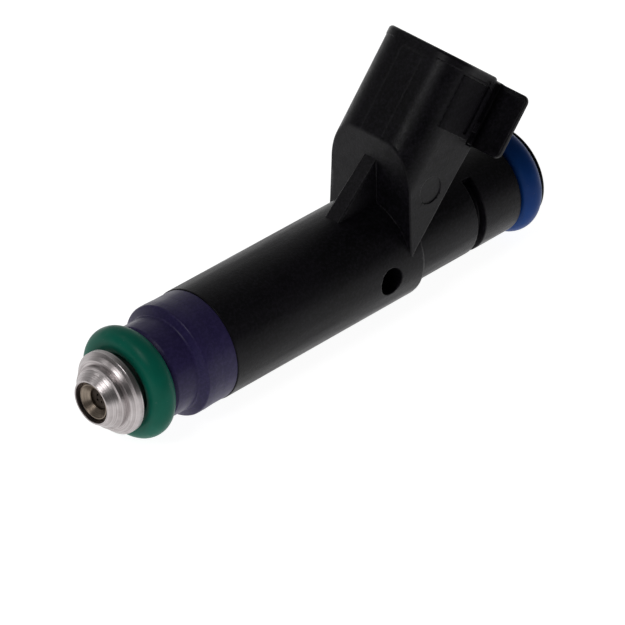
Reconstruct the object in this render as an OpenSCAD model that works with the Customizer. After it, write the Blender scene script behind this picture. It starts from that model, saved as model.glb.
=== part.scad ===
// Port fuel injector: moulded body, slanted two-blade connector, two O-ring seals.
// +X runs along the fuel path, from the nozzle to the inlet. +Z is the connector's side.
// The origin is the centre of the lower O-ring, on the axis. Lengths are in millimetres.

/* [Seals] */
// Thickness of the rubber of both O-rings
seal_cord = 3.53; // [3.4:0.01:3.6]
// Outside diameter of both O-rings
seal_od = 14.6; // [14.4:0.1:14.8]
// Distance from the lower O-ring to the upper one
seal_span = 64.3; // [63.9:0.1:66]
// How much the steel under an O-ring stretches its inner radius
seal_stretch = 0.05; // [0:0.01:0.1]

/* [Nozzle] */
// Distance from the lower O-ring's centre to the nozzle's front rim
nozzle_reach = 6.3; // [6.2:0.1:6.8]
// Radius of the nozzle's front rim
rim_r = 2.9; // [2.85:0.05:3.1]
// Radius of the nozzle's largest ring
ring_r = 5.4; // [5.2:0.1:5.7]
// Diameter of one spray hole
spray_d = 0.3; // [0.2:0.05:0.35]
// Number of spray holes
spray_count = 4; // [2:1:6]

/* [Sleeve] */
// Radius of the sleeve's narrow end
sleeve_neck_r = 6.2; // [5.9:0.05:6.4]
// Radius of the sleeve's wide end
sleeve_r = 7.25; // [7.0:0.05:7.3]
// Where the sleeve starts
sleeve_x0 = 1.95; // [1.9:0.05:2.2]

/* [Body] */
// Where the black body starts
body_x0 = 11.2; // [11.1:0.1:11.3]
// Where the body steps down to its narrow end
body_step_x = 43.7; // [43.5:0.1:45]
// Radius of the body's wide part
body_r = 7.35; // [7.2:0.05:7.6]
// Radius of the body's narrow part
body_small_r = 6.5; // [6.3:0.1:6.7]
// Width of the retaining clip's groove
groove_w = 1.4; // [1:0.1:1.8]
// Depth of the retaining clip's groove
groove_depth = 1.2; // [0.8:0.1:1.5]
// Half of the angle at the top that the groove leaves whole
groove_gap = 31; // [20:1:40]

/* [Connector] */
// Angle between the connector's axis and the fuel path
socket_lean = 50; // [49:1:51]
// Half of the connector's width
socket_half_w = 6.8; // [6.6:0.1:7]
// Radius of the connector's two rounded corners
socket_corner_r = 4.1; // [3.8:0.1:4.5]
// Depth of the socket
socket_depth = 10.5; // [9:0.5:11]
// Thickness of the socket's wall
socket_wall = 1.2; // [1:0.1:1.4]
// Half of the width of the connector's flange
flange_half_w = 10.4; // [9.5:0.1:11]
// Width of one blade
blade_w = 2.8; // [2.4:0.1:3]
// Thickness of one blade
blade_t = 0.8; // [0.6:0.1:1]
// Distance between the blades' centres
blade_pitch = 5; // [4.6:0.1:5.2]

/* [Valve] */
// How far the needle lifts
needle_lift = 0.1; // [0.06:0.01:0.15]
// Radius of the valve's ball
ball_r = 1.5; // [1.45:0.01:1.55]
// Running clearance between sliding faces, on the radius
run_gap = 0.05; // [0.03:0.01:0.08]
// Clearance that the closed valve keeps at its stops
stop_gap = 0.03; // [0.02:0.01:0.04]
// Number of turns of the return spring
spring_turns = 9; // [7:1:10]
// Diameter of the spring's wire
spring_wire = 0.55; // [0.45:0.05:0.6]

/* [Hidden] */
$fn = 96;

// How far a cutter runs past the face that it cuts
over = 1;

// O-rings and the steel under them
cord_r = seal_cord / 2;
seal_mid_r = seal_od / 2 - cord_r;
seal_seat_r = seal_od / 2 - seal_cord + seal_stretch;

// Nozzle stations, from the rim to the O-ring
rim_x = -nozzle_reach;
pocket_r = rim_r - 0.2;
plate_x = -4.9;
plate_t = 0.2;
ring_x = -2.6;
spray_circle_r = 0.5;
sac_r = 0.9;
outlet_r = 0.45;

// Ball, seat and guide; the seat's cone makes 45 degrees with the axis
ball_x = -1.4;
seat_back_x = -1.7;
guide_back_x = -0.9;
cone_shift = sqrt(2) * (ball_r + stop_gap);
fuel_r = 2.2;

// Steel of the valve body behind the O-ring
shank_r = 4.6;
collar_x = 11.4;
collar_end_x = 14.5;
housing_in_r = 5.85;
housing_r = 6.35;
housing_end_x = 32.6;

// Moving group and its sleeve
slug_r = 2.95;
slug_x0 = 13.3;
pole_x = 24;
slug_x1 = pole_x - needle_lift - stop_gap;
magnet_in_r = slug_r + run_gap;
magnet_r = magnet_in_r + 0.4;
magnet_x0 = 11.6;
magnet_x1 = 27;
needle_r = 1.1;
needle_bore_r = 0.7;
needle_x1 = 16;
spring_x0 = 18.2;
spring_x1 = 27;
spring_pocket_r = 1.65;
spring_mid_r = 1.3;
pole_end_x = 33;
adjuster_r = 1.65;
adjuster_end_x = 34;

// Coil
spool_in_r = magnet_r + run_gap;
spool_r = spool_in_r + 0.45;
spool_flange_r = 5.7;
spool_x0 = 15;
spool_x1 = 31;
spool_flange_t = 0.8;
winding_r = 5.45;

// Inlet end
body_end_x = seal_span - 2.1;
collar_front_x = seal_span + 1.8;
tube_end_x = seal_span + 3.2;
tube_step_x = 36;
tube_bore_r = 2.9;
inlet_mouth_r = 3.1;
filter_r = 2.55;
filter_x0 = seal_span - 12.3;
filter_x1 = seal_span + 0.3;
filter_ring_x1 = seal_span + 1.7;
mesh_r = 2.45;
mesh_t = 0.08;

// Connector. Its own frame has its origin at the middle of the mouth's back edge, +Z out of
// the mouth, +X towards the flange and +Y across.
mouth_x = 49.81;
mouth_z = 26.84;
lean_c = cos(socket_lean);
lean_s = sin(socket_lean);
wall_x = 41.3;
foot_z = 1.4;
foot_half_w = 7.15;
draft_z = 10.2;
shroud_t = 11;
flange_t0 = 11.75;
flange_t1 = 12.5;
flange_d0 = 0.4;
flange_d1 = 9;
gusset_d = 9.2;
cavity_t0 = socket_wall;
cavity_t1 = 8.9;
cavity_front_r = 1.5;
cavity_half_w = socket_half_w - socket_wall;
blade_line_t = (cavity_t0 + cavity_t1) / 2;
blade_tip_d = 3.2;
panel_t0 = 2.7;
panel_t1 = 9.45;
panel_d0 = 1.5;
panel_d1 = 8.6;
panel_proud = 0.12;
panel_slot_t = 7.6;
panel_slot_w = 0.8;
rim_band = 1.2;
rim_proud = 0.08;
clip_channel_d = 8.9;
web_half_w = 5.9;
rib_half_w = 1.05;
rib_top_z = 13.5;
rib_foot_x = 34.5;

// Terminal strip inside the body
strip_t = 0.5;
strip_w = 1.2;
strip_z = 4.75;
strip_x0 = 30.4;
strip_bend_x = 43;

// Blind core hole in each side of the body
core_hole_x = 37.8;
core_hole_r = 1.8;
core_hole_floor = 4.6;

// X and Z of a point of the connector's middle plane
function plug_xz(t, d) = [mouth_x + t * lean_s - d * lean_c, mouth_z - t * lean_c - d * lean_s];

// Solid turned about the X axis from a list of [x, radius] points
module turned(profile)
    rotate([0, 90, 0])
        rotate_extrude()
            polygon([for (p = profile) [p[1], p[0]]]);

module rod(x0, x1, r)
    translate([x0, 0, 0])
        rotate([0, 90, 0])
            cylinder(h = x1 - x0, r = r);

module pipe(x0, x1, r_out, r_in)
    turned([[x0, r_in], [x0, r_out], [x1, r_out], [x1, r_in]]);

module o_ring(x)
    translate([x, 0, 0])
        rotate([0, 90, 0])
            rotate_extrude()
                translate([seal_mid_r, 0])
                    circle(r = cord_r);

// Places its children in the connector's own frame
module plug_frame()
    translate([mouth_x, 0, mouth_z])
        rotate([0, 90 - socket_lean, 0])
            children();

// Rectangle from [x0, -half_w] to [x1, half_w], rounded by r0 at x0 and by r1 at x1
module slab_outline(x0, x1, half_w, r0, r1) {
    translate([x0 + r0, -half_w])
        square([x1 - x0 - r0 - r1, 2 * half_w]);
    translate([x0, -half_w + r0])
        square([r0, 2 * (half_w - r0)]);
    translate([x1 - r1, -half_w + r1])
        square([r1, 2 * (half_w - r1)]);
    for (side = [-1, 1]) {
        translate([x0 + r0, side * (half_w - r0)])
            circle(r = r0);
        translate([x1 - r1, side * (half_w - r1)])
            circle(r = r1);
    }
}

// Side view of the neck: wall, back, mouth, flange side and gusset
module neck_side() {
    foot = [wall_x, foot_z];
    back = (mouth_x - wall_x) / lean_c;
    polygon([
        foot,
        plug_xz(0, back),
        plug_xz(0, 0),
        plug_xz(shroud_t, 0),
        plug_xz(shroud_t, gusset_d)
    ]);
}

// The neck's sides spread a little towards the barrel
module neck_solid()
    intersection() {
        union() {
            plug_frame()
                translate([0, 0, -40])
                    linear_extrude(40)
                        slab_outline(0, shroud_t + 20, socket_half_w, socket_corner_r, 1);
            translate([wall_x, 0, 0])
                rotate([90, 0, 90])
                    linear_extrude(shroud_t)
                        polygon([
                            [-foot_half_w, foot_z],
                            [foot_half_w, foot_z],
                            [socket_half_w, draft_z],
                            [-socket_half_w, draft_z]
                        ]);
        }
        rotate([90, 0, 0])
            translate([0, 0, -10])
                linear_extrude(20)
                    neck_side();
    }

module rib_solid()
    rotate([90, 0, 0])
        translate([0, 0, -rib_half_w])
            linear_extrude(2 * rib_half_w)
                polygon([
                    [rib_foot_x, body_r - 0.1],
                    [wall_x + over, rib_top_z + over * lean_s / lean_c],
                    [wall_x + over, body_r - over]
                ]);

// Flange with two wings that a wire clip snaps behind, and the web that carries it
module flange_solid() {
    flange_r = 0.9;
    plug_frame() {
        translate([flange_t0, 0, -flange_d1])
            rotate([0, 90, 0])
                linear_extrude(flange_t1 - flange_t0)
                    translate([-(flange_d1 - flange_d0), 0])
                        slab_outline(0, flange_d1 - flange_d0, flange_half_w, flange_r, flange_r);
        translate([cavity_t1, -web_half_w, -flange_d1])
            cube([flange_t1 - cavity_t1, 2 * web_half_w, flange_d1 - flange_d0]);
    }
}

// Part of the shroud's outline, raised by proud, from the depth d0 to d1 behind the mouth
module raised_shroud(proud, d0, d1)
    plug_frame()
        translate([0, 0, -d1])
            linear_extrude(d1 - d0)
                slab_outline(-proud, panel_t1, socket_half_w + proud, socket_corner_r + proud, 1);

// Raised band round the mouth, and a raised panel with a slot in it on both sides
module shroud_trim() {
    raised_shroud(rim_proud, 0, rim_band);
    difference() {
        intersection() {
            raised_shroud(panel_proud, panel_d0, panel_d1);
            plug_frame()
                translate([panel_t0, -flange_half_w, -panel_d1 - over])
                    cube([shroud_t, 2 * flange_half_w, panel_d1 + 2 * over]);
        }
        plug_frame()
            for (side = [-1, 1])
                translate([panel_slot_t, side * (socket_half_w + over) - over, -panel_d1])
                    cube([panel_slot_w, 2 * over, panel_d1]);
    }
}

// Channels between the shroud and the wings, where the wire clip's legs lie
module clip_channels()
    plug_frame()
        for (side = [-1, 1])
            translate([panel_t1, side > 0 ? web_half_w : -web_half_w - 2 * over, -clip_channel_d])
                cube([flange_t0 - panel_t1, 2 * over, clip_channel_d + over]);

// Small nib in each channel that the clip's leg rests on
module clip_nibs() {
    nib_d = 7.3;
    nib_size = [1, 1.7, 1.4];
    plug_frame()
        for (side = [-1, 1])
            translate([panel_t1, side * web_half_w - nib_size.y / 2, -nib_d])
                cube(nib_size);
}

module barrel_solid() {
    step_chamfer = 0.3;
    seam_chamfer = 0.15;
    turned([
        [body_x0, 0],
        [body_x0, body_r - seam_chamfer],
        [body_x0 + seam_chamfer, body_r],
        [body_step_x - step_chamfer, body_r],
        [body_step_x, body_r - step_chamfer],
        [body_step_x, body_small_r],
        [body_end_x - step_chamfer, body_small_r],
        [body_end_x, body_small_r - step_chamfer],
        [body_end_x, 0]
    ]);
}

// Groove around the body's narrow end, left whole at the top
module clip_groove() {
    groove_x = seal_span - 10.1;
    reach = 12;
    difference() {
        pipe(groove_x, groove_x + groove_w, body_small_r + over, body_small_r - groove_depth);
        rotate([90, 0, 90])
            linear_extrude(seal_span)
                polygon([
                    [0, 0],
                    [reach * tan(groove_gap), reach],
                    [-reach * tan(groove_gap), reach]
                ]);
    }
}

module core_holes()
    for (side = [-1, 1])
        translate([core_hole_x, side * core_hole_floor, 0])
            rotate([-90 * side, 0, 0])
                cylinder(h = body_r, r = core_hole_r);

module socket_cavity()
    plug_frame()
        translate([0, 0, -socket_depth])
            linear_extrude(socket_depth + over)
                slab_outline(cavity_t0, cavity_t1, cavity_half_w, socket_corner_r - socket_wall, cavity_front_r);

// Steel parts that the plastic is moulded around
module moulded_in() {
    rod(body_x0 - over, housing_end_x, housing_r);
    rod(body_x0, tube_step_x, magnet_r);
    rod(body_x0, body_end_x + over, seal_seat_r);
}

// Corner i of a strip's outline, half a thickness to the left of its middle line
function unit(v) = v / norm(v);
function left_of(path, i) =
    let (way = unit(path[i + 1] - path[i]))
    [-way[1], way[0]];
function strip_corner(path, i, half) =
    let (
        before = left_of(path, max(i - 1, 0)),
        after = left_of(path, min(i, len(path) - 2)),
        mid = unit(before + after)
    )
    path[i] + mid * half / (mid * after);

// One bent strip that carries a blade; side is 1 for +Y and -1 for -Y
module terminal(side) {
    path = [
        [strip_x0, strip_z],
        [strip_bend_x, strip_z],
        plug_xz(blade_line_t, socket_depth + 2.7),
        plug_xz(blade_line_t, socket_depth + 0.5)
    ];
    last = len(path) - 1;
    outline = [
        for (half = [-strip_t / 2, strip_t / 2])
            for (i = [0:last])
                strip_corner(path, half < 0 ? i : last - i, half)
    ];
    translate([0, side * blade_pitch / 2, 0]) {
        rotate([90, 0, 0])
            translate([0, 0, -strip_w / 2])
                linear_extrude(strip_w)
                    polygon(outline);
        plug_frame()
            translate([blade_line_t, 0, 0])
                blade();
    }
}

// Blade with a bevelled tip
module blade() {
    bevel = 0.6;
    root_d = socket_depth + 2;
    rotate([90, 0, 90])
        translate([0, 0, -blade_t / 2])
            linear_extrude(blade_t)
                polygon([
                    [-blade_w / 2, -root_d],
                    [blade_w / 2, -root_d],
                    [blade_w / 2, -blade_tip_d - bevel],
                    [blade_w / 2 - bevel, -blade_tip_d],
                    [-blade_w / 2 + bevel, -blade_tip_d],
                    [-blade_w / 2, -blade_tip_d - bevel]
                ]);
}

module body_overmold()
    color("#1b1b1e")
        difference() {
            union() {
                barrel_solid();
                rib_solid();
                difference() {
                    union() {
                        neck_solid();
                        shroud_trim();
                    }
                    clip_channels();
                }
                flange_solid();
                clip_nibs();
            }
            moulded_in();
            socket_cavity();
            clip_groove();
            core_holes();
            terminal(1);
            terminal(-1);
        }

module lower_sleeve() {
    shoulder_x0 = 5.3;
    shoulder_x1 = 6.7;
    fillet_r = 0.7;
    crest_r = sleeve_r + 0.1;
    crest_end_x = 7.7;
    plain_x = 8.6;
    edge = 0.2;
    front_edge = 0.4;
    rise = crest_r - sleeve_neck_r;
    // Points of the hollow fillet, then of the round shoulder above it
    hollow = [
        for (a = [0:15:90])
            [shoulder_x0 + fillet_r * sin(a), sleeve_neck_r + rise / 2 * (1 - cos(a))]
    ];
    crown = [
        for (a = [15:15:90])
            [shoulder_x0 + fillet_r + (shoulder_x1 - shoulder_x0 - fillet_r) * (1 - cos(a)),
             sleeve_neck_r + rise / 2 * (1 + sin(a))]
    ];
    color("#2a2350")
        turned(concat(
            [[sleeve_x0, shank_r], [sleeve_x0, sleeve_neck_r - front_edge],
                [sleeve_x0 + front_edge, sleeve_neck_r]],
            hollow,
            crown,
            [[crest_end_x, crest_r], [plain_x, sleeve_r], [body_x0 - edge, sleeve_r],
                [body_x0, sleeve_r - edge], [body_x0, shank_r]]
        ));
}

module lower_o_ring()
    color("#0e4538")
        o_ring(0);

module upper_o_ring()
    color("#0e2a5c")
        o_ring(seal_span);

module inlet_collar() {
    front_r = 6.4;
    back_r = 5.3;
    land = 0.25;
    color("#141416")
        turned([
            [collar_front_x, seal_seat_r],
            [collar_front_x, front_r],
            [collar_front_x + land, front_r],
            [tube_end_x - 0.3, back_r],
            [tube_end_x - 0.3, seal_seat_r]
        ]);
}

// Turned nozzle and shank
module valve_body() {
    outside = [
        [rim_x, rim_r],
        [rim_x + 0.7, rim_r + 0.5],
        [-5.0, 3.8],
        [-4.9, 4.1],
        [-4.25, 4.1],
        [-4.2, 4.65],
        [-3.7, 5.0],
        [ring_x - 0.8, ring_r],
        [ring_x, ring_r],
        [ring_x, seal_seat_r],
        [sleeve_x0, seal_seat_r],
        [sleeve_x0, shank_r],
        [collar_x, shank_r],
        [collar_x, housing_in_r],
        [collar_end_x, housing_in_r]
    ];
    inside = [
        [collar_end_x, magnet_r],
        [magnet_x0, magnet_r],
        [magnet_x0, fuel_r],
        [guide_back_x, fuel_r],
        [guide_back_x, pocket_r],
        [rim_x, pocket_r]
    ];
    color("#8a8686")
        turned(concat(outside, inside));
}

// Pressed ring with a dished mouth that holds the plate and the seat in
module orifice_retainer() {
    dish_x = rim_x + 0.35;
    dish_r = pocket_r - 0.4;
    mouth_r = 2.15;
    throat_r = 1.35;
    base_x = plate_x - 0.35;
    color("#a8a49a")
        turned([
            [dish_x, mouth_r],
            [dish_x, dish_r],
            [base_x, dish_r],
            [base_x, pocket_r],
            [plate_x, pocket_r],
            [plate_x, throat_r],
            [plate_x - 0.25, throat_r]
        ]);
}

module orifice_plate()
    color("#6f6a5c")
        difference() {
            rod(plate_x, plate_x + plate_t, pocket_r);
            for (n = [0:spray_count - 1])
                rotate([45 + 360 / spray_count * n, 0, 0])
                    translate([0, spray_circle_r, 0])
                        rod(plate_x - over, plate_x + plate_t + over, spray_d / 2);
        }

module valve_seat() {
    front_x = plate_x + plate_t;
    sac_x = front_x + 0.6;
    cone_x0 = outlet_r - cone_shift + ball_x;
    cone_r1 = seat_back_x - ball_x + cone_shift;
    color("#77777c")
        turned([
            [front_x, sac_r],
            [front_x, pocket_r],
            [seat_back_x, pocket_r],
            [seat_back_x, cone_r1],
            [cone_x0, outlet_r],
            [sac_x, outlet_r],
            [sac_x, sac_r]
        ]);
}

module needle_guide() {
    port_r = 0.3;
    port_count = 6;
    color("#9a9aa0")
        difference() {
            pipe(seat_back_x, guide_back_x, pocket_r, ball_r + run_gap);
            for (n = [0:port_count - 1])
                rotate([360 / port_count * n, 0, 0])
                    translate([0, 2.12, 0])
                        rod(seat_back_x - over, guide_back_x + over, port_r);
        }
}

module valve_ball()
    color("#c8c8cc")
        translate([ball_x, 0, 0])
            sphere(r = ball_r);

// Hollow needle with two cross holes that let the fuel out beside the ball
module needle_tube() {
    cross_hole_x = 2;
    cross_hole_r = 0.4;
    // The front end follows the ball that is welded to it
    front = [
        for (r = [needle_bore_r, (needle_bore_r + needle_r) / 2, needle_r])
            [ball_x + sqrt(ball_r * ball_r - r * r), r]
    ];
    color("#b4b4b8")
        difference() {
            turned(concat(front, [[needle_x1, needle_r], [needle_x1, needle_bore_r]]));
            translate([cross_hole_x, 0, 0])
                cylinder(h = 2 * needle_r + over, r = cross_hole_r, center = true);
        }
}

module armature() {
    seat_end_x = 18;
    color("#6e6e74")
        turned([
            [slug_x0, needle_r],
            [slug_x0, slug_r - 0.3],
            [slug_x0 + 0.3, slug_r],
            [slug_x1, slug_r],
            [slug_x1, spring_pocket_r],
            [seat_end_x, spring_pocket_r],
            [seat_end_x, needle_bore_r],
            [needle_x1, needle_bore_r],
            [needle_x1, needle_r]
        ]);
}

// Helical spring: eight-sided wire swept round the axis
module return_spring() {
    steps = 16;
    sides = 8;
    n = steps * spring_turns;
    wire_r = spring_wire / 2;
    x_first = spring_x0 + wire_r;
    x_last = spring_x1 - wire_r - 0.03;
    function wire_point(i, k) =
        let (
            turn = 360 * i / steps,
            around = 360 * k / sides,
            r = spring_mid_r + wire_r * cos(around)
        )
        [x_first + (x_last - x_first) * i / n + wire_r * sin(around), r * cos(turn), r * sin(turn)];
    points = [for (i = [0:n]) for (k = [0:sides - 1]) wire_point(i, k)];
    skin = [
        for (i = [0:n - 1])
            for (k = [0:sides - 1])
                let (next = (k + 1) % sides)
                [i * sides + k, (i + 1) * sides + k, (i + 1) * sides + next, i * sides + next]
    ];
    caps = [
        [for (k = [0:sides - 1]) k],
        [for (k = [sides - 1:-1:0]) n * sides + k]
    ];
    color("#9c9ca2")
        polyhedron(points = points, faces = concat(skin, caps));
}

module pole_piece()
    color("#74747a")
        turned([
            [pole_x, spring_pocket_r + 0.2],
            [pole_x, magnet_in_r - 0.2],
            [pole_x + 0.2, magnet_in_r],
            [pole_end_x, magnet_in_r],
            [pole_end_x, adjuster_r],
            [pole_x + 0.2, spring_pocket_r]
        ]);

// Slit tube whose front end holds the spring
module adjusting_sleeve()
    color("#a0a0a6")
        difference() {
            pipe(spring_x1, adjuster_end_x, adjuster_r, 0.9);
            translate([spring_x1 - over, -0.15, 0])
                cube([adjuster_end_x - spring_x1 + 2 * over, 0.3, adjuster_r + over]);
        }

module magnet_sleeve()
    color("#b0b0b4")
        pipe(magnet_x0, magnet_x1, magnet_r, magnet_in_r);

module inlet_tube()
    color("#9b9ba0")
        turned([
            [magnet_x1, magnet_in_r],
            [magnet_x1, magnet_r],
            [tube_step_x, magnet_r],
            [tube_step_x, seal_seat_r],
            [tube_end_x - 0.3, seal_seat_r],
            [tube_end_x - 0.3, seal_seat_r + 0.7],
            [tube_end_x, seal_seat_r + 0.6],
            [tube_end_x, inlet_mouth_r],
            [filter_ring_x1, inlet_mouth_r],
            [filter_ring_x1, tube_bore_r],
            [tube_step_x, tube_bore_r],
            [tube_step_x - 0.6, magnet_in_r - 0.6],
            [pole_end_x, magnet_in_r - 0.6],
            [pole_end_x, magnet_in_r]
        ]);

module coil_bobbin()
    color("#c9b88a")
        difference() {
            turned([
                [spool_x0, spool_in_r],
                [spool_x0, spool_flange_r],
                [spool_x0 + spool_flange_t, spool_flange_r],
                [spool_x0 + spool_flange_t, spool_r],
                [spool_x1 - spool_flange_t, spool_r],
                [spool_x1 - spool_flange_t, spool_flange_r],
                [spool_x1, spool_flange_r],
                [spool_x1, spool_in_r]
            ]);
            terminal(1);
            terminal(-1);
        }

// Layers of wire; each scallop of the outline is one turn of the top layer
module coil_winding() {
    wire_turns = 24;
    x0 = spool_x0 + spool_flange_t;
    pitch = (spool_x1 - spool_flange_t - x0) / wire_turns;
    outline = [
        for (n = [0:wire_turns - 1])
            for (a = [0:60:120])
                [x0 + pitch * (n + (1 - cos(a)) / 2), winding_r - pitch * 0.35 * (1 - sin(a))]
    ];
    color("#a8622c")
        turned(concat([[x0, spool_r]], outline, [[x0 + pitch * wire_turns, winding_r - pitch * 0.35],
            [x0 + pitch * wire_turns, spool_r]]));
}

module coil_housing()
    color("#7c7c82")
        pipe(collar_x, housing_end_x, housing_r, housing_in_r);

module flux_washer()
    color("#85858b")
        difference() {
            pipe(spool_x1, housing_end_x, housing_in_r, spool_in_r);
            translate([spool_x1 - over, -3.4, strip_z - 0.5])
                cube([housing_end_x - spool_x1 + 2 * over, 6.8, housing_in_r]);
        }

module terminal_left()
    color("#c2bda8")
        terminal(1);

module terminal_right()
    color("#c2bda8")
        terminal(-1);

// Moulded cage: closed front cap, collar and four bars
module filter_basket() {
    cap_t = 1;
    bar_w = 0.6;
    rim_x0 = filter_x1 - 1.4;
    color("#d8d4c4")
        union() {
            rod(filter_x0, filter_x0 + cap_t, filter_r);
            pipe(rim_x0, filter_x1, filter_r, mesh_r - 0.5);
            for (n = [0:3])
                rotate([90 * n, 0, 0])
                    translate([filter_x0, -bar_w / 2, mesh_r - 0.5])
                        cube([filter_x1 - filter_x0, bar_w, 0.4]);
        }
}

module filter_mesh()
    color("#8f9488")
        pipe(filter_x0 + 1, filter_x1 - 1.4, mesh_r + mesh_t, mesh_r);

module filter_ring()
    color("#b08d3e")
        pipe(filter_x1, filter_ring_x1, tube_bore_r, 2.2);

body_overmold();
lower_sleeve();
lower_o_ring();
upper_o_ring();
inlet_collar();
valve_body();
orifice_retainer();
orifice_plate();
valve_seat();
needle_guide();
valve_ball();
needle_tube();
armature();
return_spring();
pole_piece();
adjusting_sleeve();
magnet_sleeve();
inlet_tube();
coil_bobbin();
coil_winding();
coil_housing();
flux_washer();
terminal_left();
terminal_right();
filter_basket();
filter_mesh();
filter_ring();
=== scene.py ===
"""Looks of the fuel injector: visible pieces, materials, floor, light and camera.

Lengths below are millimetres in the frame of the CAD model: +X along the fuel path from the
nozzle to the inlet, +Z to the connector's side. MM turns them into Blender's metres.
"""

import math

import bpy
import numpy as np
import openvdb
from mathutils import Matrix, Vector


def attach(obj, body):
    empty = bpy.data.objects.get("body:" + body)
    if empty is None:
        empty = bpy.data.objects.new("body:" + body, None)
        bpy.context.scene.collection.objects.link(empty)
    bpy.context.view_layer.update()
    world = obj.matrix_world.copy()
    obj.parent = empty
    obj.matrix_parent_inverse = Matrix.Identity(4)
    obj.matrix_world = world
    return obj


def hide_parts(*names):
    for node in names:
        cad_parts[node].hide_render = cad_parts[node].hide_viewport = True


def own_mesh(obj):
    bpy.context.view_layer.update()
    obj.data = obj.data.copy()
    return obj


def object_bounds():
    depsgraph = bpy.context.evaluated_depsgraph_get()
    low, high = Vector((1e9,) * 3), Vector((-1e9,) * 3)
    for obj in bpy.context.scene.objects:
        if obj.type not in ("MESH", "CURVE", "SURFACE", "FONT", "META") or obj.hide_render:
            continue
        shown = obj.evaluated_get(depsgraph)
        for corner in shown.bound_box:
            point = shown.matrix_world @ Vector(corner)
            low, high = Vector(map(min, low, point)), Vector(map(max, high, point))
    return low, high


MM = 0.001
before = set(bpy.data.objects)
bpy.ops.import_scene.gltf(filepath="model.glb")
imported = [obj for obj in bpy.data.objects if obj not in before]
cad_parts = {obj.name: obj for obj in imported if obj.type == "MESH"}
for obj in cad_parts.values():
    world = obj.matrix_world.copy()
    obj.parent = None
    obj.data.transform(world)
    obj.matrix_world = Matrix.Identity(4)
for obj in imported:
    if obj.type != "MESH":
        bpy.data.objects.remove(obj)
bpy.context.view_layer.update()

# ---------------------------------------------------------------- dimensions of the CAD model

SEAL_CORD = 3.53
SEAL_OD = 14.6
SEAL_SPAN = 64.3
SEAL_SQUEEZE = 0.05
SEAL_MID_R = (SEAL_OD - SEAL_CORD) / 2
SEAL_SEAT_R = SEAL_OD / 2 - SEAL_CORD + SEAL_SQUEEZE

BODY_X0 = 11.2
BODY_STEP_X = 43.7
BODY_END_X = SEAL_SPAN - 2.1
BODY_R = 7.35
BODY_SMALL_R = 6.5
BODY_SMALL_X0 = 20
CLIP_GROOVE = {
    "x": SEAL_SPAN - 9.4,
    "half_w": 0.7,
    "floor_r": 5.3,
    "end_r": 7.5,
    "gap": math.radians(31),
}
CORE_HOLE = {"x": 37.8, "r": 1.8, "floor": 4.6}
# start, end and radius of the steel parts that the body is moulded round
MOULDED_IN = [(10.2, 32.6, 6.35), (11.2, 36.0, 3.4), (11.2, 63.2, SEAL_SEAT_R)]

# The connector has axes of its own: t from its back wall to the flange, d down from its mouth.
MOUTH_X = 49.81
MOUTH_Z = 26.84
LEAN_C = math.cos(math.radians(50))
LEAN_S = math.sin(math.radians(50))
HALF_W = 6.8
CORNER_R = 4.1
SHROUD_T = 11.0
WALL_X = 41.3
DRAFT = 0.04
DRAFT_Z = 10.2
GUSSET_D = 9.2
GUSSET_FOOT = (WALL_X, 1.4)
SOCKET_DEPTH = 10.5
SOCKET_T = (1.2, 8.9)
RIM_BAND = 1.2
RIM_PROUD = 0.08
STRIP_HALF_W = 1.75
STRIP_PROUD = 0.06
STRIP_RAMP = 0.3
PANEL_T = (2.7, 9.45)
PANEL_D = (1.5, 8.6)
PANEL_PROUD = 0.12
PANEL_ROOT = 2
PANEL_EDGE_Y = HALF_W - 0.9
SLOT_T = (7.6, 8.4)
SLOT_D = (0.8, 8.0)
SLOT_DEPTH = 0.15
CHANNEL_D = 8.9
CHANNEL_INSET = 0.5
WEB_HALF_W = 5.9
WEB_T0 = 8.5
WEB_INSET = 0.3
FLANGE_T = (11.75, 12.5)
FLANGE_D = (0.4, 9.0)
FLANGE_HALF_W = 10.4
NIB_T = (PANEL_T[1] - 0.3, PANEL_T[1] + 1)
NIB_D = (5.9, 7.3)
NIB_PROUD = 0.85
EJECTOR_MARK = {"x": 45.0, "z": 9.95, "r": 1.8, "depth": 0.08}

RIB_FOOT = (34.5, 7.25)
RIB_TOP = (WALL_X, 13.5)
RIB_HALF_W = 1.05
RIB_DRAFT = 0.02

# how far a solid or a cut runs into its neighbour, so that no skin is left between them
OVERLAP = 1

# radii of the body's edges, corners and fillets
EDGE = {
    "barrel_front": 0.12,
    "barrel_step": 0.3,
    "barrel_end": 0.3,
    "barrel_foot": 0.25,
    "slab_front": 0.3,
    "mouth": 0.5,
    "wall": 0.2,
    "gusset": 0.35,
    "raised": 0.06,
    "rim_corner": 0.8,
    "panel_front": 0.3,
    "panel_low": 0.15,
    "panel_high": 0.9,
    "slot": 0.3,
    "channel": 0.25,
    "plate_corner": 0.9,
    "plate": 0.22,
    "web": 0.2,
    "web_foot": 0.25,
    "flange_foot": 0.2,
    "nib": 0.15,
    "nib_foot": 0.1,
    "socket_corner": 1.5,
    "socket_floor": 0.4,
    "socket_mouth": 0.2,
    "rib": 0.22,
    "joined": 0.05,
    "groove_floor": 0.1,
    "groove": 0.12,
    "hole_floor": 0.15,
    "hole": 0.12,
    "mark": 0.05,
}

# The body's distance field is sampled on this grid; FLATNESS lets flat stretches have fewer faces.
BODY_GRID = {"low": (10.5, -11.25, -8.1), "high": (63.0, 11.3, 28.3), "step": 0.125}
FLATNESS = 0.004

SPRING = {"x": (18.475, 26.695), "turns": 9, "mid_r": 1.3, "wire_r": 0.275}

WIRE_PITCH = 0.6
CLOTH_PITCH = 0.12
CLOTH_THREADS = 128

# ---------------------------------------------------------------- meshes


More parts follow.
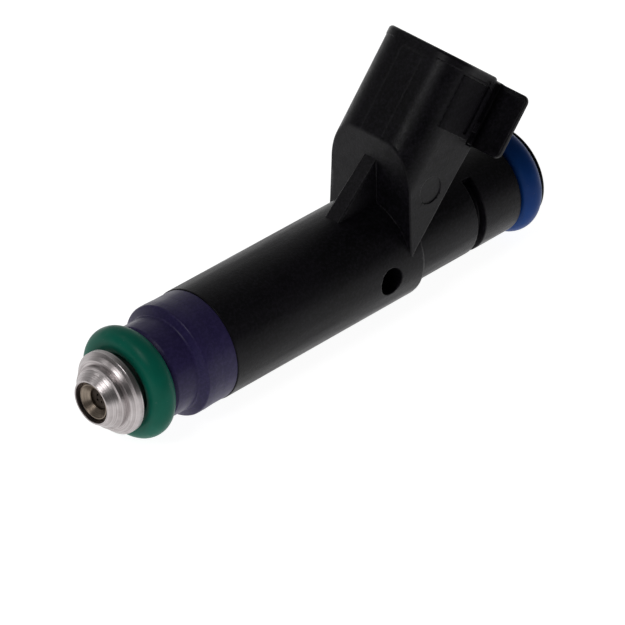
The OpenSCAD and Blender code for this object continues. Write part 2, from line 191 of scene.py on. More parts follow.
def make_piece(name, points, faces, corner_normals, finish, body="injector", node=None):
    """A smooth mesh, from points in millimetres, that rides on a body and may replace a CAD node.

    The normals are one for each point, one for each face's corner, or None.
    """
    mesh = bpy.data.meshes.new(name)
    mesh.from_pydata((np.asarray(points, float) * MM).tolist(), [], faces)
    mesh.validate()
    mesh.shade_smooth()
    if corner_normals is not None:
        if len(corner_normals) == len(mesh.vertices):
            mesh.normals_split_custom_set_from_vertices(corner_normals.tolist())
        else:
            mesh.normals_split_custom_set(corner_normals.tolist())
    piece = bpy.data.objects.new(name, mesh)
    bpy.context.scene.collection.objects.link(piece)
    mesh.materials.append(finish)
    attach(piece, body)
    if node:
        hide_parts(node)
    return piece


def rounded(corners, step=12):
    """A closed outline of (x, y, radius) corners, as rows of start, end and the normals at both.

    An arc has a point at least every step degrees; a corner that is almost flat has none.
    """
    spots = []
    for i, (x, y, radius) in enumerate(corners):
        here = np.array((x, y))
        before = np.array(corners[i - 1][:2]) - here
        after = np.array(corners[(i + 1) % len(corners)][:2]) - here
        room = 0.49 * min(np.linalg.norm(before), np.linalg.norm(after))
        before, after = before / np.linalg.norm(before), after / np.linalg.norm(after)
        half = math.acos(np.clip(before @ after, -1, 1)) / 2
        if radius <= 0 or half > math.radians(88):
            spots.append((here, None, None))
            continue
        reach = min(radius / math.tan(half), room)
        radius = reach * math.tan(half)
        centre = here + (before + after) / np.linalg.norm(before + after) * radius / math.sin(half)
        start, end = here + before * reach - centre, here + after * reach - centre
        turn = math.atan2(start[0] * end[1] - start[1] * end[0], start @ end)
        count = max(2, math.ceil(abs(turn) / math.radians(step)))
        first = math.atan2(start[1], start[0])
        for k in range(count + 1):
            way = np.array((math.cos(first + turn * k / count), math.sin(first + turn * k / count)))
            spots.append((centre + radius * way, i, way * math.copysign(1, turn)))
    rows = []
    area = sum(
        a[0][0] * b[0][1] - a[0][1] * b[0][0] for a, b in zip(spots, spots[1:] + spots[:1])
    )
    side = 1 if area > 0 else -1
    for (p, arc_p, way_p), (q, arc_q, way_q) in zip(spots, spots[1:] + spots[:1]):
        if arc_p is not None and arc_p == arc_q:
            rows.append((p, q, way_p * side, way_q * side))
        else:
            flat = np.array((q[1] - p[1], p[0] - q[0])) * side / np.linalg.norm(q - p)
            rows.append((p, q, flat, flat))
    return rows


def circle(x, y, radius, count=48):
    """A whole circle, as the same kind of rows."""
    turns = [2 * math.pi * k / count for k in range(count + 1)]
    ways = [np.array((math.cos(a), math.sin(a))) for a in turns]
    centre = np.array((x, y))
    return [
        (centre + radius * a, centre + radius * b, a, b) for a, b in zip(ways, ways[1:])
    ]


def turned(name, outline, finish, segments=144, **options):
    """A piece turned about the X axis from an outline of (x, radius) rows."""
    count = len(outline)
    starts = np.array([row[0] for row in outline])
    angles = np.arange(segments) * 2 * math.pi / segments
    ring = np.stack([np.cos(angles), np.sin(angles)], 1)
    points = np.zeros((segments, count, 3))
    points[:, :, 0] = starts[:, 0]
    points[:, :, 1:] = starts[None, :, 1, None] * ring[:, None, :]
    area = sum(p[0] * q[1] - p[1] * q[0] for p, q, _, _ in outline)
    faces, normals = [], []
    for s in range(segments):
        t = (s + 1) % segments
        for i, (_, _, way_p, way_q) in enumerate(outline):
            j = (i + 1) % count
            corners = [(s, i, way_p), (s, j, way_q), (t, j, way_q), (t, i, way_p)]
            if area < 0:
                corners.reverse()
            faces.append([a * count + b for a, b, _ in corners])
            normals.extend((w[0], w[1] * ring[a, 0], w[1] * ring[a, 1]) for a, _, w in corners)
    return make_piece(name, points.reshape(-1, 3), faces, np.array(normals), finish, **options)


# ---------------------------------------------------------------- moulded body as a distance field


def reach(a, b):
    return np.sqrt(a * a + b * b)


def both(a, b, r=0.0):
    """Where two solids overlap, with its edge rounded."""
    if r == 0:
        return np.maximum(a, b)
    a, b = a + r, b + r
    return np.minimum(np.maximum(a, b), 0) + reach(np.maximum(a, 0), np.maximum(b, 0)) - r


def either(a, b, r=0.0):
    """Two solids joined, with a fillet where they meet."""
    if r == 0:
        return np.minimum(a, b)
    return np.maximum(np.minimum(a, b), r) - reach(np.maximum(r - a, 0), np.maximum(r - b, 0))


def without(a, b, r=0.0):
    return both(a, -b, r)


def between(v, limits):
    return np.maximum(limits[0] - v, v - limits[1])


def middle(limits):
    return (limits[0] + limits[1]) / 2


def half(limits):
    return (limits[1] - limits[0]) / 2


def outline_2d(u, v, u_limits, half_v, r_low, r_high):
    """A rectangle in u and |v|, whose corners have radius r_low at low u and r_high at high u."""
    r = np.where(u < middle(u_limits), np.float32(r_low), np.float32(r_high))
    qu = np.abs(u - middle(u_limits)) - half(u_limits) + r
    qv = np.abs(v) - half_v + r
    return np.minimum(np.maximum(qu, qv), 0) + reach(np.maximum(qu, 0), np.maximum(qv, 0)) - r


def half_plane(x, z, start, end):
    """Distance outside the line from start to end, whose solid side is on the right."""
    way = np.array(end, float) - np.array(start, float)
    way /= np.linalg.norm(way)
    return -(x - start[0]) * way[1] + (z - start[1]) * way[0]


def plug_axes(x, z):
    """The connector's t and d at a point of the frame."""
    t = (x - MOUTH_X) * LEAN_S - (z - MOUTH_Z) * LEAN_C
    d = -(x - MOUTH_X) * LEAN_C - (z - MOUTH_Z) * LEAN_S
    return t, d


def plug_point(t, d):
    """The x and z of a point of the connector."""
    return (MOUTH_X + t * LEAN_S - d * LEAN_C, MOUTH_Z - t * LEAN_C - d * LEAN_S)


def barrel_field(x, y, z):
    r = reach(y, z)
    wide = both(BODY_X0 - x, r - BODY_R, EDGE["barrel_front"])
    wide = both(wide, x - BODY_STEP_X, EDGE["barrel_step"])
    narrow = both(BODY_SMALL_X0 - x, x - BODY_END_X)
    narrow = both(narrow, r - BODY_SMALL_R, EDGE["barrel_end"])
    return either(wide, narrow, EDGE["barrel_foot"])


def neck_field(x, y, z, t, d):
    """The shroud's outside, with the strip on its back, and the drafted neck down to the barrel."""
    drafted = y - DRAFT * np.maximum(DRAFT_Z - z, 0)
    strip = np.clip((STRIP_HALF_W - y) / STRIP_RAMP + 0.5, 0, 1)
    strip = strip * np.clip((d - RIM_BAND) / STRIP_RAMP - 1, 0, 1)
    slab_t = t + STRIP_PROUD * strip
    neck = outline_2d(slab_t, drafted, (0, SHROUD_T), HALF_W, CORNER_R, EDGE["slab_front"])
    neck = both(neck, -d, EDGE["mouth"])
    neck = both(neck, WALL_X - x, EDGE["wall"])
    gusset = half_plane(x, z, plug_point(SHROUD_T, GUSSET_D), GUSSET_FOOT)
    return both(neck, gusset, EDGE["gusset"])


def rim_field(y, t, d):
    """The raised band round the mouth."""
    limits = (-RIM_PROUD, PANEL_T[1])
    corner_r = CORNER_R + RIM_PROUD
    rim = outline_2d(t, y, limits, HALF_W + RIM_PROUD, corner_r, EDGE["rim_corner"])
    return both(both(rim, -d, EDGE["mouth"]), d - RIM_BAND, EDGE["raised"])


def panel_field(y, t, d):
    """The raised panel on each side."""
    limits = (-PANEL_PROUD, PANEL_T[1])
    corner_r = CORNER_R + PANEL_PROUD
    around = outline_2d(t, y, limits, HALF_W + PANEL_PROUD, corner_r, EDGE["panel_front"])
    face = outline_2d(
        t, d - middle(PANEL_D), PANEL_T, half(PANEL_D), EDGE["panel_low"], EDGE["panel_high"]
    )
    return both(both(face, around, EDGE["raised"]), HALF_W - PANEL_ROOT - y)


def flange_field(y, t, d):
    """The flange with its two wings, on the web that joins it to the shroud."""
    height = half(FLANGE_D)
    corner_r = EDGE["plate_corner"]
    plate = outline_2d(
        d - middle(FLANGE_D), y, (-height, height), FLANGE_HALF_W, corner_r, corner_r
    )
    plate = both(plate, between(t, FLANGE_T), EDGE["plate"])
    web = both(y - WEB_HALF_W, between(t, (WEB_T0, FLANGE_T[1] - WEB_INSET)))
    web = both(web, between(d, FLANGE_D), EDGE["web"])
    return either(plate, web, EDGE["web_foot"])


def connector_field(x, y, z):
    t, d = plug_axes(x, z)
    shroud = either(neck_field(x, y, z, t, d), rim_field(y, t, d))
    shroud = either(shroud, panel_field(y, t, d))
    slot = outline_2d(t, d - middle(SLOT_D), SLOT_T, half(SLOT_D), EDGE["slot"], EDGE["slot"])
    shroud = without(shroud, both(slot, HALF_W - SLOT_DEPTH - y), EDGE["raised"])
    channel = both(
        between(t, (PANEL_T[1], FLANGE_T[0] + OVERLAP)), WEB_HALF_W - CHANNEL_INSET - y
    )
    shroud = without(shroud, both(channel, d - CHANNEL_D), EDGE["channel"])
    shroud = either(shroud, flange_field(y, t, d), EDGE["flange_foot"])
    nib = both(between(t, NIB_T), between(d, NIB_D))
    nib = both(nib, y - WEB_HALF_W - NIB_PROUD, EDGE["nib"])
    shroud = either(shroud, nib, EDGE["nib_foot"])
    wall = SOCKET_T[0]
    socket = outline_2d(t, y, SOCKET_T, HALF_W - wall, CORNER_R - wall, EDGE["socket_corner"])
    socket = both(socket, d - SOCKET_DEPTH, EDGE["socket_floor"])
    return without(shroud, socket, EDGE["socket_mouth"])


def rib_field(x, y, z):
    """The rib in the corner between the neck's back and the barrel."""
    flank = y - RIB_HALF_W - RIB_DRAFT * np.maximum(RIB_TOP[1] - z, 0)
    rib = both(flank, half_plane(x, z, RIB_FOOT, RIB_TOP), EDGE["rib"])
    return both(rib, np.maximum(x - WALL_X - OVERLAP, BODY_R - OVERLAP - z))


def body_field(x, y, z):
    """Signed distance to the moulded body, negative inside, the same on both sides of Y = 0."""
    y = np.abs(y)
    r = reach(y, z)
    solid = either(barrel_field(x, y, z), rib_field(x, y, z), EDGE["joined"])
    solid = either(solid, connector_field(x, y, z), EDGE["joined"])

    along = np.abs(x - CLIP_GROOVE["x"]) - CLIP_GROOVE["half_w"]
    groove = both(along, CLIP_GROOVE["floor_r"] - r, EDGE["groove_floor"])
    groove = both(groove, r - CLIP_GROOVE["end_r"])
    open_side = z * math.sin(CLIP_GROOVE["gap"]) - y * math.cos(CLIP_GROOVE["gap"])
    groove = both(groove, open_side, EDGE["groove_floor"])
    solid = without(solid, groove, EDGE["groove"])

    hole = reach(x - CORE_HOLE["x"], z) - CORE_HOLE["r"]
    hole = both(hole, CORE_HOLE["floor"] - y, EDGE["hole_floor"])
    solid = without(solid, hole, EDGE["hole"])

    mark = reach(x - EJECTOR_MARK["x"], z - EJECTOR_MARK["z"]) - EJECTOR_MARK["r"]
    mark = both(mark, HALF_W - EJECTOR_MARK["depth"] - y)
    solid = without(solid, mark, EDGE["mark"])

    for x0, x1, radius in MOULDED_IN:
        solid = without(solid, np.maximum(between(x, (x0, x1)), r - radius))
    return solid


def field_slope(field, p, step):
    """Gradient of a field at each point."""
    moves = np.eye(3) * step
    return np.stack([(field(*(p + m).T) - field(*(p - m).T)) / (2 * step) for m in moves], 1)


def skin_of(field, low, high, step, flatness):
    """Points, faces and normals of a field's surface, from a grid between two corners.

    The field is worked out for Y >= 0 and mirrored, so the grid's Y range is centred on 0.
    Each point is then moved on to the exact surface, by at most half a step at a time.
    """
    band = 3 * step
    rounds = 4
    probe = 0.08 * step
    least_slope = 0.2
    axes = [np.arange(a, b, step, dtype=np.float32) for a, b in zip(low, high)]
    axes[1] = axes[1][len(axes[1]) // 2 :]
    values = field(*np.meshgrid(*axes, indexing="ij", sparse=True))
    values = np.concatenate((values[:, :0:-1], values), 1)
    grid = openvdb.FloatGrid(float(band))
    grid.copyFromArray(np.clip(values, -band, band).astype(np.float32))
    points, triangles, quads = grid.convertToPolygons(isovalue=0, adaptivity=flatness)
    points = points.astype(float) * step + np.array(low)
    for _ in range(rounds):
        slope = field_slope(field, points, probe)
        size = np.maximum((slope * slope).sum(1), least_slope)
        move = slope * (field(*points.T) / size)[:, None]
        longest = np.maximum(np.linalg.norm(move, axis=1) / (0.5 * step), 1)
        points -= move / longest[:, None]
    slope = field_slope(field, points, 2 * probe)
    normals = slope / np.maximum(np.linalg.norm(slope, axis=1), 1e-9)[:, None]
    faces = quads.tolist() + triangles.tolist()
    a, b, c = (points[quads[:, k]] for k in (0, 1, 2))
    if (np.cross(b - a, c - a) * normals[quads[:, 0]]).sum() < 0:
        faces = [f[::-1] for f in faces]
    return points, faces, normals


# ---------------------------------------------------------------- materials


class Finish:
    """A material's node tree, with short ways to add and join nodes."""

    def __init__(self, name, colour, roughness, metallic=0.0, **sockets):
        self.material = bpy.data.materials.new(name)
        self.material.use_nodes = True
        self.tree = self.material.node_tree
        self.shader = self.tree.nodes["Principled BSDF"]
        self.set("Base Color", (*colour, 1))
        self.set("Roughness", roughness)
        self.set("Metallic", metallic)
        for socket, value in sockets.items():
            self.set(socket.replace("_", " "), value)
        self.place = self.add("ShaderNodeTexCoord").outputs["Object"]

    def set(self, socket, value):
        self.shader.inputs[socket].default_value = value

    def add(self, kind, inputs=None, **options):
        node = self.tree.nodes.new(kind)
        for key, value in options.items():
            setattr(node, key, value)
        for key, value in (inputs or {}).items():
            if isinstance(value, bpy.types.NodeSocket):
                self.tree.links.new(value, node.inputs[key])
            else:
                node.inputs[key].default_value = value
        return node

    def maths(self, operation, a, b=0.0):
        return self.add("ShaderNodeMath", {0: a, 1: b}, operation=operation).outputs[0]

    def noise(self, per_mm, detail=2.0, where=None, roughness=0.5):
        """Noise between 0 and 1, with this many waves to the millimetre."""
        inputs = {"Vector": where or self.place, "Scale": per_mm / MM}
        inputs.update({"Detail": detail, "Roughness": roughness})
        return self.add("ShaderNodeTexNoise", inputs).outputs["Fac"]

    def spread(self, value, low, high, start=0.3, stop=0.7):
        """A value from start to stop, stretched from low to high."""
        inputs = {"Value": value, "From Min": start, "From Max": stop}
        inputs.update({"To Min": low, "To Max": high})
        return self.add("ShaderNodeMapRange", inputs).outputs["Result"]

    def blend(self, factor, colour_a, colour_b):
        node = self.add("ShaderNodeMix", {0: factor}, data_type="RGBA")
        for index, colour in ((6, colour_a), (7, colour_b)):
            if isinstance(colour, bpy.types.NodeSocket):
                self.tree.links.new(colour, node.inputs[index])
            else:
                node.inputs[index].default_value = (*colour, 1)
        return node.outputs[2]

    def join(self, output, socket):
        self.tree.links.new(output, self.shader.inputs[socket])

    def bump(self, *layers):
        """Layers of (height, depth in millimetres), each on top of the one before."""
        normal = None
        for height, depth in layers:
            inputs = {"Height": height, "Distance": depth * MM, "Strength": 1.0}
            if normal is not None:
                inputs["Normal"] = normal
            normal = self.add("ShaderNodeBump", inputs).outputs["Normal"]
        self.join(normal, "Normal")

    def lathe_place(self, around=0.02):
        """Coordinates for turning marks, which change along X and with the radius."""
        split = self.add("ShaderNodeSeparateXYZ", {0: self.place}).outputs
        flat = self.add("ShaderNodeCombineXYZ", {"X": split["Y"], "Y": split["Z"]}).outputs[0]
        radius = self.add("ShaderNodeVectorMath", {0: flat}, operation="LENGTH").outputs["Value"]
        turn = self.maths("ARCTAN2", split["Y"], split["Z"])
        inputs = {
            "X": split["X"],
            "Y": radius,
            "Z": self.maths("MULTIPLY", turn, around * MM),
        }
        return self.add("ShaderNodeCombineXYZ", inputs).outputs[0]


FLOW = (0.12, 1, 1)
# tone of the light specks on the rubber: partly fluff, partly painted oily highlights
LINT_AND_SHEEN = (0.20, 0.24, 0.25)
DEEP = {"Specular_IOR_Level": 0.16}


def moulded(name, colour, light, roughness, grain=0.004, wave=0.012, **sockets):
    """Moulded plastic: flow marks along the part, fine grain and uneven gloss."""
    f = Finish(name, colour, roughness, **sockets)
    flow = f.spread(f.noise(0.12, 3), 0, 0.5)
    speckle = f.spread(f.noise(2.6, 3, roughness=0.7), 0, 0.9, 0.46, 0.64)
    f.join(f.blend(f.maths("ADD", flow, speckle), colour, light), "Base Color")
    drawn_out = f.add("ShaderNodeVectorMath", {0: f.place, 1: FLOW}, operation="MULTIPLY")
    streaks = f.noise(0.8, 4, drawn_out.outputs[0], 0.6)
    f.join(f.spread(streaks, roughness - 0.09, roughness + 0.10), "Roughness")
    f.bump((f.noise(0.5, 2), wave), (f.noise(3.5, 4, roughness=0.7), grain))
    return f.material


def rubber(name, colour, light, roughness=0.36):
    """Rubber with an oily film, a fine skin and a few light specks, partly fluff and partly painted
    oily highlights.
    """
    f = Finish(name, colour, roughness, Specular_IOR_Level=0.09)
    tone = f.blend(f.spread(f.noise(0.25, 3), 0, 1), colour, light)
    # light specks scattered at random: fluff, and painted highlights of an oily film
    lint_and_sheen = f.spread(f.noise(1.7, 3, roughness=0.6), 0, 0.14, 0.66, 0.74)
    tone = f.blend(lint_and_sheen, tone, LINT_AND_SHEEN)
    f.join(tone, "Base Color")
    f.join(f.spread(f.noise(0.6, 4), roughness - 0.07, roughness + 0.09), "Roughness")
    f.bump((f.noise(0.9, 2), 0.01), (f.noise(9.0, 2), 0.003))
    return f.material


def machined(name, colour, dark, roughness, marks=0.006):
    """Turned metal: rings that follow the tool, with stains between them."""
    f = Finish(name, colour, roughness, 1.0)
    rings = f.lathe_place()
    fine = f.noise(9.0, 3, rings, 0.7)
    broad = f.noise(1.6, 2, rings)
    stain = f.maths("MULTIPLY", f.spread(f.noise(0.5, 4), 0, 1), 0.5)
    streak = f.maths("MULTIPLY", f.spread(fine, 0, 1, 0.4, 0.62), 0.5)
    f.join(f.blend(f.maths("ADD", stain, streak), colour, dark), "Base Color")
    f.join(f.spread(fine, roughness - 0.08, roughness + 0.12), "Roughness")
    f.bump((broad, marks * 1.5), (fine, marks))
    return f.material


def plain(name, colour, light, roughness, metallic=0.0, grain=0.002):
    """A part inside: slightly uneven in tone and gloss."""
    f = Finish(name, colour, roughness, metallic)
    f.join(f.blend(f.spread(f.noise(0.5, 4), 0, 1), colour, light), "Base Color")
    f.join(f.spread(f.noise(1.5, 3), roughness - 0.06, roughness + 0.08), "Roughness")
    f.bump((f.noise(6.0, 3), grain))
    return f.material


def wound(name, colour, gap):
    """Layers of varnished wire that run round the axis, with painted shade in the grooves between
    the turns.
    """
    f = Finish(name, colour, 0.28, 1.0, Coat_Weight=0.5, Coat_Roughness=0.1)
    along = f.add("ShaderNodeSeparateXYZ", {0: f.place}).outputs["X"]
    wave = f.maths("SINE", f.maths("MULTIPLY", along, 2 * math.pi / (WIRE_PITCH * MM)))
    # the gap colour is painted shade in the grooves between the turns
    f.join(f.blend(f.spread(wave, 0, 1, -1, 0.2), gap, colour), "Base Color")
    f.bump((wave, 0.03))
    return f.material


def woven(name, colour, hole):
    """Fine cloth: threads along the axis and round it, with the openings between them painted near
    black as shade seen through the cloth.
    """
    f = Finish(name, colour, 0.4, 0.8)
    split = f.add("ShaderNodeSeparateXYZ", {0: f.place}).outputs
    turn = f.maths("ARCTAN2", split["Y"], split["Z"])
    along = f.maths("SINE", f.maths("MULTIPLY", split["X"], 2 * math.pi / (CLOTH_PITCH * MM)))
    around = f.maths("SINE", f.maths("MULTIPLY", turn, CLOTH_THREADS))
    thread = f.maths("MAXIMUM", along, around)
    # the hole colour is painted shade in the openings between the threads
    f.join(f.blend(f.spread(thread, 0, 1, 0.0, 0.6), hole, colour), "Base Color")
    f.bump((thread, 0.01))
    return f.material


BLACK_LOW = (0.0013, 0.0013, 0.0016)
black = moulded(
    "moulded_black",
    BLACK_LOW,
    (0.0076, 0.0066, 0.0094),
    0.38,
    0.026,
    Specular_IOR_Level=0.12,
)
grained = moulded(
    "grained_black",
    BLACK_LOW,
    (0.0066, 0.0056, 0.0082),
    0.5,
    0.020,
    Specular_IOR_Level=0.05,
)
purple = moulded(
    "moulded_purple", (0.017, 0.0125, 0.052), (0.030, 0.022, 0.082), 0.36, 0.010, 0.035, **DEEP
)
green = rubber("rubber_green", (0.0030, 0.098, 0.064), (0.0045, 0.122, 0.082))
blue = rubber("rubber_blue", (0.0045, 0.035, 0.165), (0.006, 0.046, 0.200))
collar_black = moulded(
    "collar_black", (0.003, 0.003, 0.004), (0.005, 0.005, 0.006), 0.34, 0.002, **DEEP
)
steel = machined("turned_steel", (0.58, 0.54, 0.54), (0.27, 0.24, 0.24), 0.32, 0.012)
bright = machined("bright_steel", (0.62, 0.61, 0.60), (0.52, 0.51, 0.49), 0.24, 0.003)
iron = machined("soft_iron", (0.36, 0.36, 0.37), (0.28, 0.28, 0.29), 0.42, 0.008)
warm = machined("stained_steel", (0.30, 0.25, 0.20), (0.10, 0.075, 0.06), 0.34, 0.006)
# the orifice plate's steel is made far darker than the other steel
dark_plate = machined("very_dark_plate_steel", (0.07, 0.055, 0.045), (0.02, 0.015, 0.012), 0.45, 0.004)
drawn = plain("spring_steel", (0.55, 0.55, 0.57), (0.46, 0.46, 0.48), 0.25, 1.0, 0.001)
tinned = plain("tinned_metal", (0.66, 0.64, 0.58), (0.56, 0.54, 0.49), 0.32, 1.0)
brass = machined("brass", (0.60, 0.42, 0.15), (0.48, 0.33, 0.12), 0.28, 0.003)
# the second colour is painted shade between the turns of wire
copper = wound("copper_wire", (0.62, 0.25, 0.09), (0.12, 0.04, 0.015))
natural = plain("bobbin_plastic", (0.52, 0.42, 0.20), (0.58, 0.48, 0.26), 0.42)
pale = plain("filter_plastic", (0.62, 0.59, 0.48), (0.68, 0.65, 0.55), 0.42)
# the second colour is painted shade in the cloth's openings
cloth = woven("filter_cloth", (0.42, 0.45, 0.40), (0.03, 0.03, 0.03))

# ---------------------------------------------------------------- pieces

points, faces, normals = skin_of(body_field, **BODY_GRID, flatness=FLATNESS)
body = make_piece("moulded_body", points, faces, normals, black, node="body_overmold")

# the faces of the side panels have a coarser grain
body.data.materials.append(grained)
centres = np.zeros(3 * len(body.data.polygons), np.float32)
body.data.polygons.foreach_get("center", centres)
x, y, z = centres.reshape(-1, 3).T / MM
t, d = plug_axes(x, z)
on_panel = np.maximum(between(t, PANEL_T), between(d, PANEL_D)) < 0
on_panel &= np.abs(y) > PANEL_EDGE_Y
body.data.polygons.foreach_set("material_index", on_panel.astype(np.int32))

SLEEVE_OUTLINE = [
    (1.95, 4.6, 0),
    (1.95, 5.8, 0.05),
    (2.35, 6.2, 0.12),
    (5.7, 6.22, 0.4),
    (6.3, 7.31, 0.32),
    (7.4, 7.32, 3),
    (8.9, 7.25, 4),
    (BODY_X0, 7.25, 0.12),
    (BODY_X0, 4.6, 0),
]
sleeve = turned("lower_sleeve_skin", rounded(SLEEVE_OUTLINE), purple, node="lower_sleeve")

lower_outline = circle(0, SEAL_MID_R, SEAL_CORD / 2)
lower_ring = turned("green_o_ring", lower_outline, green, 160, node="lower_o_ring")
upper_outline = circle(SEAL_SPAN, SEAL_MID_R, SEAL_CORD / 2)
upper_ring = turned("blue_o_ring", upper_outline, blue, 160, node="upper_o_ring")

NOZZLE_OUTLINE = [
    (-6.3, 2.7, 0.04),
    (-6.3, 2.9, 0.06),
    (-5.6, 3.4, 0.25),
    (-5.0, 3.8, 0.08),
    (-4.9, 4.1, 0.08),
    (-4.25, 4.1, 0.06),
    (-4.2, 4.65, 0.08),
    (-3.7, 5.0, 0.12),
    (-3.4, 5.4, 0.1),
    (-2.6, 5.4, 0.12),
    (-2.6, SEAL_SEAT_R, 0.1),
    (1.95, SEAL_SEAT_R, 0),
    (1.95, 4.6, 0),
    (11.4, 4.6, 0),
    (11.4, 5.85, 0),
    (14.5, 5.85, 0),
    (14.5, 3.4, 0),
    (11.6, 3.4, 0),
    (11.6, 2.2, 0),
    (-0.9, 2.2, 0),
    (-0.9, 2.7, 0),
]
nozzle = turned("nozzle", rounded(NOZZLE_OUTLINE), steel, 160, node="valve_body")

RETAINER_OUTLINE = [
    (-5.95, 2.15, 0.05),
    (-5.95, 2.3, 0.05),
    (-5.25, 2.3, 0.05),
    (-5.25, 2.7, 0.03),
    (-4.9, 2.7, 0),
    (-4.9, 1.35, 0),
    (-5.15, 1.35, 0.06),
]
retainer = turned("dished_retainer", rounded(RETAINER_OUTLINE), warm, 128, node="orifice_retainer")

TUBE_END_X = SEAL_SPAN + 3.2
COLLAR_OUTLINE = [
    (SEAL_SPAN + 1.8, SEAL_SEAT_R, 0),
    (SEAL_SPAN + 1.8, 6.4, 0.1),
    (SEAL_SPAN + 2.05, 6.4, 0.12),
    (TUBE_END_X - 0.3, 5.3, 0.12),
    (TUBE_END_X - 0.3, SEAL_SEAT_R, 0),
]
collar = turned("collar_skin", rounded(COLLAR_OUTLINE), collar_black, node="inlet_collar")

TUBE_OUTLINE = [
    (27, 3.0, 0),
    (27, 3.4, 0),
    (36, 3.4, 0.1),
    (36, SEAL_SEAT_R, 0.1),
    (TUBE_END_X - 0.3, SEAL_SEAT_R, 0.05),
    (TUBE_END_X - 0.3, SEAL_SEAT_R + 0.7, 0.1),
    (TUBE_END_X, SEAL_SEAT_R + 0.6, 0.12),
    (TUBE_END_X, 3.1, 0.18),
    (SEAL_SPAN + 1.7, 3.1, 0.04),
    (SEAL_SPAN + 1.7, 2.9, 0.04),
    (36, 2.9, 0),
    (35.4, 2.4, 0),
    (33, 2.4, 0),
    (33, 3.0, 0),
]
tube = turned("inlet_tube_skin", rounded(TUBE_OUTLINE), bright, node="inlet_tube")

RING_OUTLINE = [
    (SEAL_SPAN + 0.3, 2.2, 0.08),
    (SEAL_SPAN + 0.3, 2.9, 0.05),
    (SEAL_SPAN + 1.7, 2.9, 0.1),
    (SEAL_SPAN + 1.7, 2.2, 0.18),
]
strainer_ring = turned("strainer_ring", rounded(RING_OUTLINE), brass, 96, node="filter_ring")


def coil_spring(name, finish, steps=36, sides=16, **options):
    """Round wire wound about the X axis."""
    ends, mid_r, wire_r = SPRING["x"], SPRING["mid_r"], SPRING["wire_r"]
    count = SPRING["turns"] * steps
    turn = np.arange(count + 1) * 2 * math.pi / steps
    around = np.arange(sides) * 2 * math.pi / sides
    radius = np.broadcast_to(mid_r + wire_r * np.cos(around), (count + 1, sides))
    along = np.linspace(*ends, count + 1)[:, None] + wire_r * np.sin(around)
    points = np.stack((along, radius * np.cos(turn)[:, None], radius * np.sin(turn)[:, None]), -1)
    faces = []
    for i in range(count):
        for k in range(sides):
            j = (k + 1) % sides
            faces.append([i * sides + k, (i + 1) * sides + k, (i + 1) * sides + j, i * sides + j])
    faces += [list(range(sides)), [count * sides + k for k in reversed(range(sides))]]
    return make_piece(name, points.reshape(-1, 3), faces, None, finish, **options)


spring = coil_spring("spring_wire", drawn, body="needle", node="return_spring")
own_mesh(spring)

NODE_FINISH = {
    bright: [
        "valve_seat",
        "needle_guide",
        "valve_ball",
        "needle_tube",
        "adjusting_sleeve",
        "magnet_sleeve",
    ],
    dark_plate: ["orifice_plate"],
    iron: ["armature", "pole_piece", "coil_housing", "flux_washer"],
    tinned: ["terminal_left", "terminal_right"],
    copper: ["coil_winding"],
    natural: ["coil_bobbin"],
    pale: ["filter_basket"],
    cloth: ["filter_mesh"],
}
for finish, names in NODE_FINISH.items():
    for name in names:
        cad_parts[name].data.materials.clear()
        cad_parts[name].data.materials.append(finish)

SOFT_EDGES = {
    "terminal_left": 0.12,
    "terminal_right": 0.12,
    "filter_basket": 0.06,
    "orifice_plate": 0.02,
}
for name, width in SOFT_EDGES.items():
    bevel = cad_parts[name].modifiers.new("soft_edges", "BEVEL")
    bevel.width = width * MM
    bevel.segments = 2
    bevel.limit_method = "ANGLE"
    bevel.angle_limit = math.radians(40)

# ---------------------------------------------------------------- floor, light and camera

# Lengths from here on are metres.
CENTRE_X = 0.03
low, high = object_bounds()
bpy.ops.mesh.primitive_plane_add(size=20, location=(CENTRE_X, 0, low.z))
floor = bpy.context.object
floor.name = "floor"
paper = Finish("paper", (0.35, 0.35, 0.35), 0.9, Specular_IOR_Level=0.1)
paper.set("Emission Color", (1, 1, 1, 1))
paper.set("Emission Strength", 0.95)
floor.data.materials.append(paper.material)

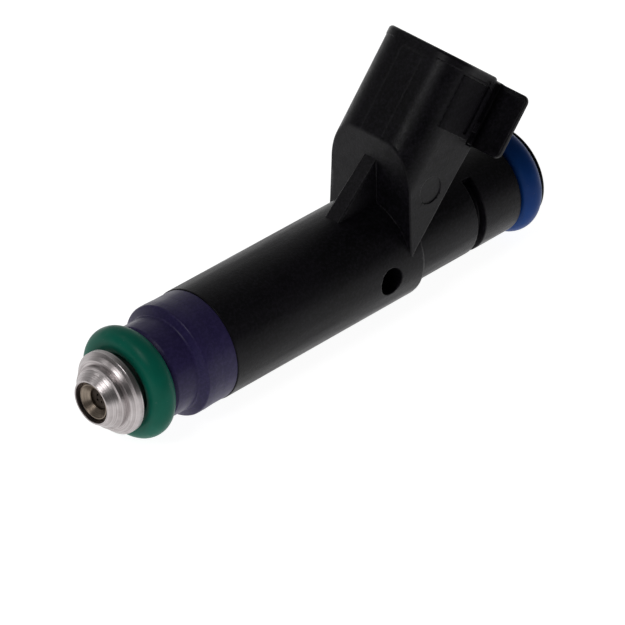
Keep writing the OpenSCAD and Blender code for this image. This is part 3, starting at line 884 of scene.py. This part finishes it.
TARGET = Vector((0.03634, 0.00508, -0.00973))
AZIMUTH = math.radians(-45.19)
ELEVATION = math.radians(33.96)
DISTANCE = 0.690
toward = Vector((
    math.sin(AZIMUTH) * math.cos(ELEVATION),
    -math.cos(AZIMUTH) * math.cos(ELEVATION),
    math.sin(ELEVATION),
))
camera = bpy.data.objects.new("camera", bpy.data.cameras.new("camera"))
bpy.context.scene.collection.objects.link(camera)
camera.data.lens = 316.6
camera.data.sensor_width = 36
camera.data.clip_start = 0.01
camera.location = TARGET + toward * DISTANCE
camera.rotation_euler = (-toward).to_track_quat("-Z", "Y").to_euler()
bpy.context.scene.camera = camera

# The studio is bright at the far side of the object and dark at the photo's side, as seen in
# the gloss: SKY is its strength at both, and SKY_RAMP where it starts and stops changing.
SKY = (0.9, 0.05)
SKY_RAMP = (-0.9, 0.5)
world = bpy.data.worlds.new("studio")
bpy.context.scene.world = world
world.use_nodes = True
tree = world.node_tree
tree.nodes.clear()
where = tree.nodes.new("ShaderNodeTexCoord")
facing = tree.nodes.new("ShaderNodeVectorMath")
facing.operation = "DOT_PRODUCT"
facing.inputs[1].default_value = toward
tree.links.new(where.outputs["Generated"], facing.inputs[0])
shade = tree.nodes.new("ShaderNodeMapRange")
shade.interpolation_type = "SMOOTHSTEP"
for key, value in zip(("From Min", "From Max", "To Min", "To Max"), SKY_RAMP + SKY):
    shade.inputs[key].default_value = value
tree.links.new(facing.outputs["Value"], shade.inputs["Value"])
sky = tree.nodes.new("ShaderNodeBackground")
tree.links.new(shade.outputs["Result"], sky.inputs["Strength"])
end = tree.nodes.new("ShaderNodeOutputWorld")
tree.links.new(sky.outputs[0], end.inputs[0])


def soft_box(name, place, size, watts):
    """A square lamp that faces the middle of the object."""
    lamp = bpy.data.lights.new(name, "AREA")
    lamp.shape = "RECTANGLE"
    lamp.size, lamp.size_y = size, size
    lamp.energy = watts
    box = bpy.data.objects.new(name, lamp)
    bpy.context.scene.collection.objects.link(box)
    box.location = place
    aim = Vector((CENTRE_X, 0, 0.005))
    box.rotation_euler = (aim - Vector(place)).to_track_quat("-Z", "Y").to_euler()


soft_box("key", (-0.36, -0.06, 0.46), size=0.22, watts=1.0)
soft_box("side", (-0.20, 0.33, 0.46), size=0.20, watts=0.2)

bpy.context.scene.view_settings.view_transform = "Standard"
bpy.context.scene.view_settings.look = "None"
